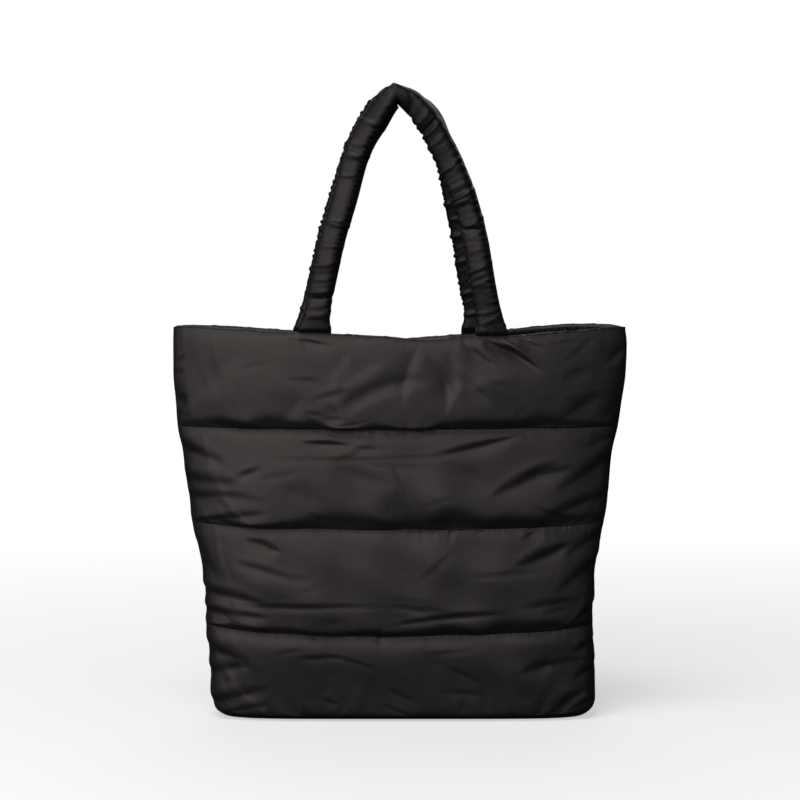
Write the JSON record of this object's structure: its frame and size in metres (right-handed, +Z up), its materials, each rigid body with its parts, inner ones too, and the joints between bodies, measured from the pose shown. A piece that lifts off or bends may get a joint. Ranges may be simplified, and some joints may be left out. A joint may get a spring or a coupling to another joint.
{
  "type": "padded tote bag",
  "caption": "Padded tote bag in glossy black fabric, quilted in wide level channels, with an open mouth and long padded handles, standing on its base",
  "frame": {"origin": "the middle of the underside of the base panel, on the surface that the bag stands on", "axes": "+Z up, +X to the right of someone facing the front panel, -Y out of the front panel"},
  "size_m": [0.4599, 0.1124, 0.6437],
  "materials": {
    "shell": "glossy woven nylon, black, padded",
    "facing": "satin woven nylon, black"
  },
  "bodies": {
    "root": {"front_panel": "shell", "back_panel": "shell", "base_panel": "shell", "mouth_facing": "facing", "front_handle": "shell", "back_handle": "shell"}
  },
  "joints": []
}
